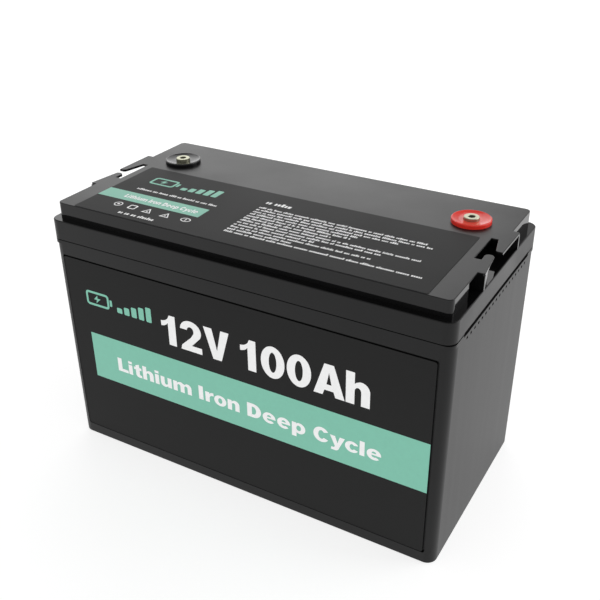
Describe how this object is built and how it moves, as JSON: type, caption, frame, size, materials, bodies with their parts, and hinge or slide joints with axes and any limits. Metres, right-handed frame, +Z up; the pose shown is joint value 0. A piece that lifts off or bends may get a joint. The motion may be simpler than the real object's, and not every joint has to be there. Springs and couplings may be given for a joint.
{
  "type": "deep cycle battery",
  "caption": "Rectangular deep cycle battery in a black moulded case, with a raised top, rope-handle hooks at the ends and threaded terminals in red and black rings.",
  "frame": {"origin": "centre of the case's underside, on the floor it stands on", "axes": "+X along the length, towards the positive terminal; -Y towards the labelled front; +Z up"},
  "size_m": [0.33, 0.172, 0.218],
  "materials": {
    "case_plastic": "black moulded ABS, fine satin texture",
    "cover_plastic": "black moulded ABS, smooth and glossy",
    "label_vinyl": null,
    "red_plastic": "red moulded nylon",
    "black_plastic": "black moulded nylon",
    "plated_brass": "nickel-plated brass",
    "seal_rubber": "nitrile rubber",
    "bare_steel": "zinc-plated steel",
    "foam": "closed-cell foam",
    "cell_can": "aluminium can in blue film",
    "cell_metal": "bare aluminium",
    "board_laminate": "glass-epoxy sheet",
    "board_green": "green solder mask",
    "tinned_copper": "tinned copper",
    "red_silicone": "red silicone sleeve",
    "black_silicone": "black silicone sleeve",
    "wire_jacket": "white wire jacket"
  },
  "bodies": {
    "root": {"case": "case_plastic", "cover": "cover_plastic", "top_plate": "cover_plastic", "front_label": "label_vinyl", "top_label": "label_vinyl", "positive_ring": "red_plastic", "negative_ring": "black_plastic", "board_tray": "black_plastic", "sense_connector": "black_plastic", "board_controller": "black_plastic", "board_mosfets": "black_plastic", "positive_terminal": "plated_brass", "negative_terminal": "plated_brass", "board_standoffs": "plated_brass", "cover_seal": "seal_rubber", "terminal_seals": "seal_rubber", "terminal_washers": "bare_steel", "terminal_nuts": "bare_steel", "cell_nuts": "bare_steel", "board_nuts": "bare_steel", "board_screws": "bare_steel", "cell_straps": "bare_steel", "base_pad": "foam", "end_foams": "foam", "cell_1": "cell_can", "cell_2": "cell_can", "cell_3": "cell_can", "cell_4": "cell_can", "cell_posts": "cell_metal", "cell_vents": "cell_metal", "busbars": "cell_metal", "end_plates": "cell_metal", "board_heatsink": "cell_metal", "cell_spacers": "board_laminate", "control_board": "board_green", "cable_lugs": "tinned_copper", "sense_lugs": "tinned_copper", "board_studs": "tinned_copper", "board_shunts": "tinned_copper", "positive_cable": "red_silicone", "negative_cable": "black_silicone", "link_cable": "black_silicone", "board_probe": "black_silicone", "sense_wires": "wire_jacket"}
  },
  "joints": []
}
